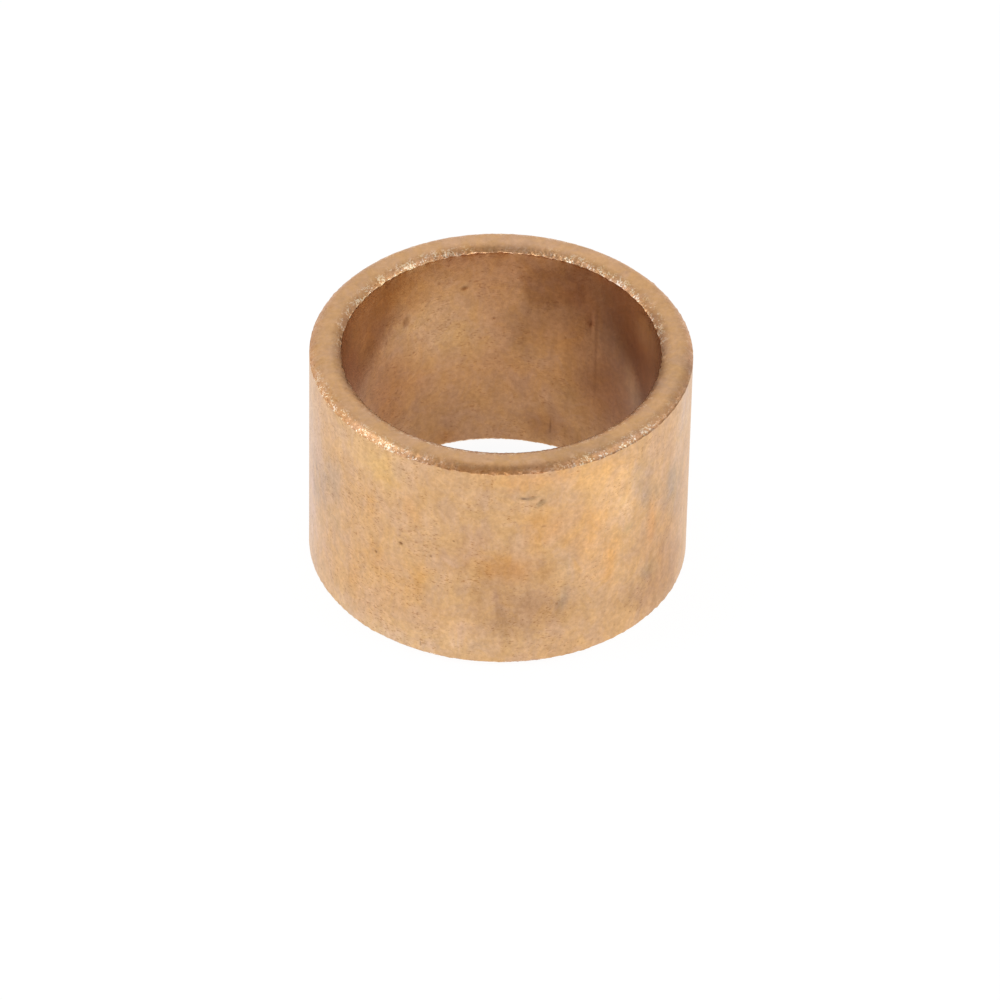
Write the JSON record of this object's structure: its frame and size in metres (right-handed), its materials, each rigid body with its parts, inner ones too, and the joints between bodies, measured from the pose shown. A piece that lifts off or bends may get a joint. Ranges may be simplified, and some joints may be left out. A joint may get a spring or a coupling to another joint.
{
  "type": "sleeve bushing",
  "caption": "Plain cylindrical bronze sleeve bushing with a smooth through bore and bevelled ends, for a shaft to turn in.",
  "frame": {"origin": "centre of the lower end face, on the bore's axis", "axes": "+Z along the bore's axis, upwards; X and Y across the ring, which looks the same all round"},
  "size_m": [0.03, 0.03, 0.02],
  "materials": {
    "sintered_bronze": "dull sintered bronze, fine open pores, faint sizing marks along the axis"
  },
  "bodies": {
    "root": {"bushing_sleeve": "sintered_bronze"}
  },
  "joints": []
}
